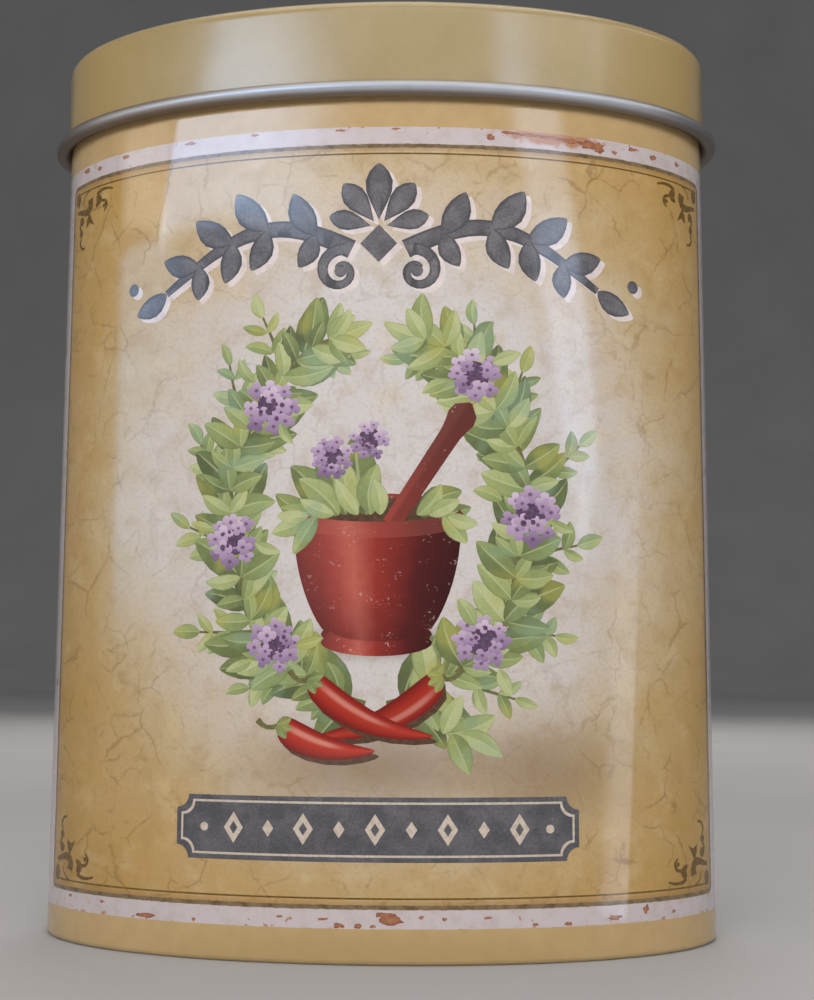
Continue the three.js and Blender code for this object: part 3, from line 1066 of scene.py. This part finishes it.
# Slate: stippled as if worn, and darker along the edges of each stroke.
inks["slate"], tree = fresh_material("slate ink under lacquer")
sheet = add(tree, "UVMap", uv_map="Sheet")[0]
_, across, tone = motif_parts(tree)
shade = uneven(tree, sheet, 0.3, 2, 0.7, -0.55, 0.25)
shade = add(tree, "Math", (shade, tone), operation="ADD")[0]
shade = add(tree, "Math", (speckle(tree, sheet, 3, 0.3, 0.7), 0.35, shade),
            operation="MULTIPLY_ADD")[0]
colour = add(tree, "ValToRGB", [shade], (
    (0.1, "#45464c"), (0.5, "#606167"), (0.85, "#7a7b83"), (1.0, "#96979f")))[0]
rim = add(tree, "Math", [across], operation="ABSOLUTE")[0]
lacquered(tree, tinted(tree, colour, "#414247", rim, 0.55, 0.95, 0.8))

# Leaves: one half lit and one in shade, a pale midrib and faint side veins, in greens that
# lean to blue in some patches and to yellow in others.
inks["leaf"], tree = fresh_material("leaf green inks under lacquer")
sheet = add(tree, "UVMap", uv_map="Sheet")[0]
u, v, tone = motif_parts(tree)
lit = uneven(tree, sheet, 1.3, 3, 0.6, -0.2, 0.2)
for part in (
    add(tree, "Math", (u, 0.3, -0.12), operation="MULTIPLY_ADD")[0],
    add(tree, "MapRange", (v, -0.08, 0.08, 0.1, -0.1), **SOFT)[0], tone,
):
    lit = add(tree, "Math", (lit, part), operation="ADD")[0]
colour = add(tree, "ValToRGB", [lit], (
    (0.0, "#566340"), (0.3, "#6f7f50"), (0.6, "#8b9d66"), (0.85, "#a0ae78"), (1.0, "#b3bd8c")))[0]
hue = add(tree, "TexNoise", {"Vector": sheet, "Scale": 1 / 5, "Detail": 1})[0]
wide = add(tree, "Math", [v], operation="ABSOLUTE")[0]
vein = add(tree, "Math", (u, 9), operation="MULTIPLY")[0]
vein = add(tree, "Math", (wide, -1.5, vein), operation="MULTIPLY_ADD")[0]
vein = add(tree, "Math", (vein, 0.5), operation="PINGPONG")[0]
for value, start, end, strength, ink in (
    (hue, 0.54, 0.68, 0.5, "#84a389"), (hue, 0.46, 0.32, 0.5, "#a8a852"),
    (vein, 0.1, 0.0, 0.16, "#56663c"), (wide, 0.12, 0.02, 0.5, "#bcc79a"),
    (wide, 0.8, 1.0, 0.4, "#525f3c"),
):
    colour = tinted(tree, colour, ink, value, start, end, strength)
lacquered(tree, colour)

# Violet flowers, pale at their lobes and dark at the throat.
inks["violet"], tree = fresh_material("violet inks under lacquer")
u, v, tone = motif_parts(tree)
lit = add(tree, "Math", (v, 0.25, -0.05), operation="MULTIPLY_ADD")[0]
lit = add(tree, "Math", (tone, lit), operation="ADD")[0]
colour = add(tree, "ValToRGB", [lit], (
    (0.0, "#7b668a"), (0.4, "#a28db0"), (0.7, "#b9a7c3"), (1.0, "#cec2d5")))[0]
lacquered(tree, tinted(tree, colour, "#5d4463", length_of(tree, u, v), 0.3, 0.1, 0.85))

# Brick-red earthenware, lit from the left, with its glaze scratched to white in places.
inks["brick"], tree = fresh_material("brick red inks under lacquer")
sheet = add(tree, "UVMap", uv_map="Sheet")[0]
u, v, tone = motif_parts(tree)
turn = add(tree, "Math", (u, uneven(tree, sheet, 1.6, 4, 0.65, -0.12, 0.12)),
           operation="ADD")[0]
turn = add(tree, "Math", (turn, 0.5, 0.5), operation="MULTIPLY_ADD")[0]
colour = add(tree, "ValToRGB", [turn], (
    (0.0, "#6e2f2c"), (0.2, "#99423a"), (0.34, "#b45e52"), (0.5, "#8c2c22"), (0.78, "#4d1212"),
    (1.0, "#350b0c")))[0]
for value, start, end, strength, ink in (
    (tone, 0.5, 1.0, 0.35, "#b0665a"), (v, 0.35, 0.0, 0.45, "#4e1613"),
):
    shown = add(tree, "MapRange", (value, start, end))[0]
    colour = laid(tree, colour, ink, shown, strength)
scratch = add(tree, "Math", (speckle(tree, sheet, 0.4, 0.57, 0.64),
                             speckle(tree, sheet, 2.6, 0.54, 0.66)), operation="MULTIPLY")[0]
lacquered(tree, laid(tree, colour, "#c3aca2", scratch, 0.7))

# Red peppers with one soft light down the upper side.
inks["red"], tree = fresh_material("red inks under lacquer")
u, v, tone = motif_parts(tree)
turn = add(tree, "Math", (v, 0.5, 0.5), operation="MULTIPLY_ADD")[0]
colour = add(tree, "ValToRGB", [turn], (
    (0.0, "#66150f"), (0.3, "#a02a1b"), (0.6, "#b83e2a"), (0.85, "#982417"), (1.0, "#701510")))[0]
shine = add(tree, "Math", (band(tree, v, 0.12, 0.5, 0.14), band(tree, u, 0.1, 0.62, 0.12)),
            operation="MULTIPLY")[0]
colour = laid(tree, colour, "#dca293", shine, 0.6)
dark = add(tree, "MapRange", (tone, 0.8, 0.2))[0]
lacquered(tree, laid(tree, colour, "#74100f", dark, 0.35))

# Chips: orange rust with a darker ragged edge.
inks["rust"], tree = fresh_material("rust inks under lacquer")
sheet = add(tree, "UVMap", uv_map="Sheet")[0]
u, v, _ = motif_parts(tree)
rim = add(tree, "Math", (speckle(tree, sheet, 0.5, 0.3, 0.7), 0.5, -0.25),
          operation="MULTIPLY_ADD")[0]
rim = add(tree, "Math", (length_of(tree, u, v), rim), operation="ADD")[0]
lacquered(tree, add(tree, "ValToRGB", [rim], (
    (0.1, "#a4724f"), (0.6, "#925f45"), (0.95, "#795347")))[0])

# Bare tinplate: cold-rolled steel with a flowed tin coat, bright and a little cloudy.
ROLLED_GRAIN = 0.35         # mm between the roll marks
GRAIN_DEPTH = 0.003
TIN_FLOW = 5                # mm across the coat's clouds


def bare_tinplate(name, dark, light, smoothest, roughest, shaded_below=0, shaded_above=FAR_OUT,
                  darkened_past=FAR_OUT, warmed_past=FAR_OUT):
    """Bright metal with a faint grain along the sheet. In millimetres, painted shade darkens it
    to brown below one height and above another, painted shade darkens it past a distance from the
    middle, and a painted warm tint, standing in for a warmer reflection, grows past a distance
    towards -X."""
    material, tree = fresh_material(name)
    place = add(tree, "TexCoord")["Object"]
    stretched = add(tree, "Mapping", {"Vector": place, "Scale": (1, 1, 6)})[0]
    rolled = add(tree, "TexNoise", {
        "Vector": stretched, "Scale": 1 / (ROLLED_GRAIN * MM), "Detail": 2})[0]
    cloudy = add(tree, "TexNoise", {
        "Vector": place, "Scale": 1 / (TIN_FLOW * MM), "Detail": 3, "Roughness": 0.6})[0]
    colour = add(tree, "ValToRGB", [cloudy], ((0.35, dark), (0.65, light)))[0]
    x, _, z = add(tree, "SeparateXYZ", [place])
    beside = add(tree, "Math", [x], operation="ABSOLUTE")[0]
    # Painted: a warm tint towards -X standing in for a warmer reflection, and shade past a
    # distance from the middle.
    for value, start, end, strength, ink in (
        (x, -warmed_past, -warmed_past - 30, 1, "#cfbba9"),
        (beside, darkened_past, darkened_past + 9, 0.75, "#76777a"),
    ):
        colour = tinted(tree, colour, ink, value, start * MM, end * MM, strength)
    # Painted shade, brown below one height and above another.
    under_shade, groove_shade = (
        add(tree, "MapRange", (z, start * MM, end * MM, 0, most), **SOFT)[0]
        for start, end, most in ((shaded_below + 0.3, shaded_below - 0.3, 0.75),
                                 (shaded_above - 0.2, shaded_above + 0.2, 0.55)))
    painted_shade = add(tree, "Math", (under_shade, groove_shade), operation="ADD")[0]
    rough = add(tree, "MapRange", (cloudy, 0.3, 0.7, smoothest, roughest))[0]
    rolled = add(tree, "Bump", {
        "Strength": 0.5, "Distance": GRAIN_DEPTH * MM, "Height": rolled})[0]
    finish = add(tree, "BsdfPrincipled", {
        "Base Color": laid(tree, colour, "#665c50", painted_shade), "Metallic": 1, "Roughness": rough,
        "Normal": rolled})
    add(tree, "OutputMaterial", {"Surface": finish[0]})
    return material


tinplate = bare_tinplate("bare tinplate", "#aeb0b8", "#bdbfc6", 0.4, 0.5)
for name in INKS:
    wall.data.materials.append(inks[name])
wall.data.materials.append(tinplate)
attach(wall, "root")
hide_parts("body_wall")


# ---------------------------------------------------------------------------------------
# Side seam. The two ends of the sheet are hooked together and pressed flat on the inside
# of the wall, at one narrow end: a strip of four thicknesses, with its edges rounded.
# ---------------------------------------------------------------------------------------
SEAM_WIDTH = 3.4
SEAM_DEPTH = 0.6
SEAM_BOTTOM = 4.4
SEAM_TOP = 109.5
SEAM_SUNK = 0.1             # into the wall
SEAM_EDGE = 0.12            # the radius of its edges

bpy.ops.object.select_all(action="DESELECT")
seam_x = -half_width + SHEET + SEAM_DEPTH / 2 - SEAM_SUNK
seam_centre = (seam_x, 0, (SEAM_BOTTOM + SEAM_TOP) / 2)
bpy.ops.mesh.primitive_cube_add(size=1, location=[c * MM for c in seam_centre])
seam = bpy.context.object
seam.name = seam.data.name = "side_seam"
seam.dimensions = [d * MM for d in (SEAM_DEPTH, SEAM_WIDTH, SEAM_TOP - SEAM_BOTTOM)]
bpy.ops.object.transform_apply(location=True, rotation=True, scale=True)
rounding = seam.modifiers.new("rounding", "BEVEL")
rounding.width = SEAM_EDGE * MM
rounding.segments = 3
bpy.ops.object.modifier_apply(modifier="rounding")
bpy.ops.object.shade_smooth_by_angle(angle=CREASE)
seam.data.materials.append(tinplate)
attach(seam, "root")
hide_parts("body_wall")


# ---------------------------------------------------------------------------------------
# Bottom end. A pressed oval of bare tinplate with one shallow step, its flange turned down
# into the wall's rolled foot. It is held well clear of the floor.
# ---------------------------------------------------------------------------------------
END_FLANGE = -0.725
END_FLANGE_BOTTOM = 0.6
END_BEND = 0.5
END_PANEL = 3 + SHEET / 2
END_STEP = 0.5
END_STEP_FOOT = -4.2
PANEL_OVALS = (-38, -24, -12)   # the rings across a flat panel
STEP_RUN = 1
STEP_BEND = 0.35


def raised_panel(foot, height, rise):
    """The middle line of a flat panel and the sloping step round it, down to the step's foot."""
    return [*(Vector((offset, height + rise)) for offset in PANEL_OVALS),
            *bend(foot - STEP_RUN, height + rise - STEP_BEND, STEP_BEND, 90, 45),
            *bend(foot, height + STEP_BEND, STEP_BEND, 225, 270)]


bottom, _ = draw_sheet("bottom_end_pressed", [
    *raised_panel(END_STEP_FOOT, END_PANEL, END_STEP),
    *bend(END_FLANGE - END_BEND, END_PANEL - END_BEND, END_BEND, 90, 0),
    Vector((END_FLANGE, END_FLANGE_BOTTOM)),
], meets_axis=True)
bottom.data.materials.append(tinplate)
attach(bottom, "root")
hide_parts("bottom_end")


# ---------------------------------------------------------------------------------------
# Lid. One drawn piece of tinplate, enamelled gold outside and bare inside. Its lower edge
# is curled outwards, which brings the bare inner face round as a bright bead.
# ---------------------------------------------------------------------------------------
LID_BEAD = 1.9
LID_BEAD_TURN = 295
LID_STEP_FOOT = -3.4
lid_bead_bottom = lid_low.z / MM
lid_skirt = LID_CLEARANCE + SHEET / 2
bead_turn = (LID_BEAD - SHEET) / 2
lid_middle = lid_shoulder - SHEET / 2

lid, lid_rings = draw_sheet("lid_enamelled", [
    *raised_panel(LID_STEP_FOOT, lid_middle, LID_PANEL_RISE),
    *bend(lid_corner.x, lid_corner.y, lid_skirt - lid_corner.x, 90, 0),
    *bend(lid_skirt + bead_turn, lid_bead_bottom + LID_BEAD / 2, bead_turn, 180,
          180 + LID_BEAD_TURN),
], meets_axis=True)

# Stoved gold enamel: a cloudy tan pigment with a fine metallic grain under a satin face. It is
# painted warmer towards the narrow ends, to offset the reflections there.
ENAMEL_CLOUD = 6            # mm across its clouds
ENAMEL_GRAIN = 0.35         # mm between its grains
ENAMEL_RELIEF = 0.0015

enamel, tree = fresh_material("stoved gold enamel")
place = add(tree, "TexCoord")["Object"]
cloudy = add(tree, "TexNoise", {
    "Vector": place, "Scale": 1 / (ENAMEL_CLOUD * MM), "Detail": 4, "Roughness": 0.6})[0]
grain = add(tree, "TexNoise", {
    "Vector": place, "Scale": 1 / (ENAMEL_GRAIN * MM), "Detail": 2, "Roughness": 0.6})[0]
colour = add(tree, "ValToRGB", [cloudy], ((0.3, "#9b8c62"), (0.7, "#a4946d")))[0]
colour = laid(tree, colour, "#928155", add(tree, "MapRange", (grain, 0.3, 0.7))[0], 0.18)
x, _, _ = add(tree, "SeparateXYZ", [place])
beside = add(tree, "Math", [x], operation="ABSOLUTE")[0]
# Painted warm tint at the narrow ends, offsetting the reflections there.
colour = tinted(tree, colour, "#a38d57", beside, 24 * MM, 41 * MM)
wavy = waviness(tree, place, SHEET_WAVE, WAVE_HEIGHT)
grainy = add(tree, "Bump", {
    "Strength": 1, "Distance": ENAMEL_RELIEF * MM, "Height": grain, "Normal": wavy})[0]
rough = add(tree, "MapRange", (cloudy, 0.3, 0.7, 0.3, 0.38))[0]
finish = add(tree, "BsdfPrincipled", {
    "Base Color": colour, "Roughness": rough, "Specular IOR Level": 0.12, "Normal": grainy,
    "Coat Weight": 1, "Coat Roughness": 0.16, "Coat IOR": 1.55, "Coat Normal": wavy})
add(tree, "OutputMaterial", {"Surface": finish[0]})

# The bead is painted lighter than the other bare tinplate, to brighten its reflections, with
# painted shade under its lip, in the groove above and at its narrow ends, and a painted warm tint
# towards -X.
bead_metal = bare_tinplate(
    "bead tinplate with painted light and shade", "#d8d6d5", "#e2e0e0", 0.44, 0.52,
    shaded_below=lid_bead_bottom + 0.42, shaded_above=lid_bead_bottom + 1.4, darkened_past=33,
    warmed_past=2)
INSIDE, OUTSIDE, BEAD = range(3)
for material in (tinplate, enamel, bead_metal):
    lid.data.materials.append(material)
inner_gaps = len(lid_rings) // 2
last_gap = len(lid_rings) - 1
for face in lid.data.polygons:
    gap = face.index // ROUND
    outer = gap >= inner_gaps if gap < last_gap else face.normal.z > 0.5
    on_bead = face.center.z / MM < lid_bead_bottom + LID_BEAD + 0.2
    face.material_index = OUTSIDE if outer else BEAD if on_bead else INSIDE
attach(lid, "root")
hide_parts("lid")


# ---------------------------------------------------------------------------------------
# Studio. A pale seamless sweep for the floor and backdrop, bluish window-like panels and a
# leaning strip that the lacquer mirrors, a soft key above the lens with a light behind and
# one overhead, and the camera.
# ---------------------------------------------------------------------------------------
SWEEP_HALF_WIDTH = 2.4
SWEEP_FRONT = -2.4
SWEEP_BACK = 2.6
SWEEP_HEIGHT = 2.4
SWEEP_RADIUS = 0.8
PAPER_CLOUD = 111           # mm across the clouds of its tone
sweep_bend = SWEEP_BACK - SWEEP_RADIUS
sweep_depth = sweep_bend - SWEEP_FRONT

bpy.ops.object.select_all(action="DESELECT")
bpy.ops.mesh.primitive_plane_add(size=1, location=(0, 0, 0))
floor = bpy.context.object
floor.name = floor.data.name = "studio_sweep"
floor.dimensions = (2 * SWEEP_HALF_WIDTH, sweep_depth, 0)
floor.location = (0, SWEEP_FRONT + sweep_depth / 2, 0)
bpy.ops.object.transform_apply(location=True, rotation=True, scale=True)
bpy.ops.object.mode_set(mode="EDIT")
sweep_edges = bmesh.from_edit_mesh(floor.data)
for edge in sweep_edges.edges:
    edge.select = all(v.co.y > sweep_bend - 0.01 for v in edge.verts)
sweep_edges.select_flush_mode()
bmesh.update_edit_mesh(floor.data)
bpy.ops.mesh.spin(
    steps=24, angle=-math.pi / 2, center=(0, sweep_bend, SWEEP_RADIUS), axis=(1, 0, 0))
bpy.ops.mesh.extrude_edges_move(
    TRANSFORM_OT_translate={"value": (0, 0, SWEEP_HEIGHT - SWEEP_RADIUS)})
bpy.ops.object.mode_set(mode="OBJECT")
bpy.ops.object.shade_smooth()

# Seamless paper: matt, with faint clouds in its grey.
paper, tree = fresh_material("pale studio paper")
place = add(tree, "TexCoord")["Object"]
cloudy = add(tree, "TexNoise", {
    "Vector": place, "Scale": 1 / (PAPER_CLOUD * MM), "Detail": 3})[0]
colour = add(tree, "ValToRGB", [cloudy], ((0.3, "#aeb0b3"), (0.7, "#b5b7ba")))[0]
finish = add(tree, "BsdfPrincipled", {
    "Base Color": colour, "Roughness": 0.9, "Specular IOR Level": 0.2})
add(tree, "OutputMaterial", {"Surface": finish[0]})
floor.data.materials.append(paper)
floor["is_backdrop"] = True

world = bpy.data.worlds.new("studio air")
world.use_nodes = True
air = world.node_tree.nodes["Background"].inputs
air["Color"].default_value = linear("#e3e1de")
air["Strength"].default_value = 0.26
bpy.context.scene.world = world

AIM_HEIGHT = 0.05           # the lamps face the middle of the tin
SHARP = 0.001               # the share over which an edge with no fade ends


def softbox(name, azimuth, elevation, distance, size, radiance, colour, fades, lean=0, slant=0):
    """A rectangular light that faces the tin. Azimuth is from the front towards +X, and lean
    turns the light on its own axis, in degrees. The fades are the shares of its width and
    height over which it dims at its left, right, lower and upper edges, and slant is the share
    of its width by which the left edge has moved in at the top."""
    data = bpy.data.lights.new(name, "AREA")
    data.shape = "RECTANGLE"
    data.size, data.size_y = size
    data.energy = radiance * math.pi * size[0] * size[1]
    data.color = linear(colour)[:3]
    data.use_nodes = True
    tree = data.node_tree
    tree.nodes.clear()
    across, up, _ = add(tree, "SeparateXYZ", [add(tree, "NewGeometry")["Parametric"]])
    from_left = add(tree, "Math", (up, -slant, across), operation="MULTIPLY_ADD")[0]
    from_right = add(tree, "Math", (1, across), operation="SUBTRACT")[0]
    from_top = add(tree, "Math", (1, up), operation="SUBTRACT")[0]
    strength = 1
    for inward, fade in zip((from_left, from_right, up, from_top), fades):
        dimmed = add(tree, "MapRange", (inward, 0, max(fade, SHARP)), **SOFT)[0]
        strength = add(tree, "Math", (strength, dimmed), operation="MULTIPLY")[0]
    glow = add(tree, "Emission", {"Strength": strength})
    add(tree, "OutputLight", {"Surface": glow[0]})
    lamp = bpy.data.objects.new(name, data)
    bpy.context.scene.collection.objects.link(lamp)
    a, e = math.radians(azimuth), math.radians(elevation)
    way = Vector((math.sin(a) * math.cos(e), -math.cos(a) * math.cos(e), math.sin(e)))
    lamp.location = Vector((0, 0, AIM_HEIGHT)) + way * distance
    lamp.rotation_euler = (
        way.to_track_quat("Z", "Y").to_matrix() @ Matrix.Rotation(math.radians(lean), 3, "Z")
    ).to_euler()
    lamp.visible_camera = False
    return lamp


# What the lacquer mirrors: panels that only show as reflections.
for reflected in (
    softbox("window", -33.9, 26.6, 1.2, (1.17, 0.36), 7.7, "#b0d3fd", (0.05, 0.44, 0.1, 0.3),
            slant=0.45),
    softbox("window reveal", -67.5, 21.6, 1.2, (0.46, 0.16), 2.5, "#fffcf4", (0.35, 0, 0.1, 0.8)),
    softbox("low pane", -60.5, 9, 1.2, (0.81, 0.36), 2.7, "#9accff", (0.22, 0.55, 0.2, 0)),
    softbox("strip", 39.6, 17.5, 1.2, (0.25, 0.7), 4.1, "#c6dcff", (0.3, 0.3, 0.12, 0.1),
            lean=41),
    softbox("strip end", 27, 30, 1.2, (0.18, 0.2), 4.4, "#c6dcff", (0.35, 0.35, 0.1, 0.3)),
    softbox("near card", 61.8, -4.4, 0.065, (0.012, 0.095), 2.8, "#e2ecff", (0.6, 0.12, 0, 0.9),
            lean=-7),
    softbox("sky pane", 4, 40, 1.2, (2.4, 0.36), 1.5, "#eceef2", (0.5, 0.05, 0.35, 0.3)),
    softbox("side sky pane", 80, 38, 1.2, (1.1, 0.36), 1.5, "#eceef2", (0.05, 0.5, 0.3, 0.3)),
):
    reflected.visible_diffuse = False
# What lights it: a soft key round the lens, a weaker one behind, and a broad top light.
for lit in (
    softbox("key", 1, 23, 0.45, (0.6, 0.21), 8.1, "#fff4ee", (0.2, 0.2, 0.3, 0.3)),
    softbox("back light", 180, 35, 0.8, (0.7, 0.4), 4.0, "#fff6ee", (0.2, 0.2, 0.2, 0.2)),
):
    lit.visible_glossy = False
softbox("top light", 0, 88, 1.3, (1.4, 1.4), 1.3, "#fff8f0", (0.2, 0.2, 0.2, 0.2))

# Camera: low and close, looking a little upwards, where the tin fills the frame.
LENS_MM = 52.24             # on the default 36 mm sensor, along the frame's height
CAMERA_PLACE = (0.01404, -0.18774, 0.03248)
CAMERA_PITCH = 6.78
CAMERA_TURN = 3.26
CAMERA_ROLL = 0.23

camera_data = bpy.data.cameras.new("camera")
camera_data.lens = LENS_MM
camera_data.clip_start = 0.01
camera = bpy.data.objects.new("camera", camera_data)
bpy.context.scene.collection.objects.link(camera)
aim = Euler((math.radians(90 + CAMERA_PITCH), 0, math.radians(CAMERA_TURN))).to_matrix()
roll = Matrix.Rotation(math.radians(CAMERA_ROLL), 3, "Z")
camera.matrix_world = Matrix.Translation(CAMERA_PLACE) @ (aim @ roll).to_4x4()
bpy.context.scene.camera = camera
bpy.context.scene.view_settings.view_transform = "Standard"

bpy.context.view_layer.update()
low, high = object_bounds()
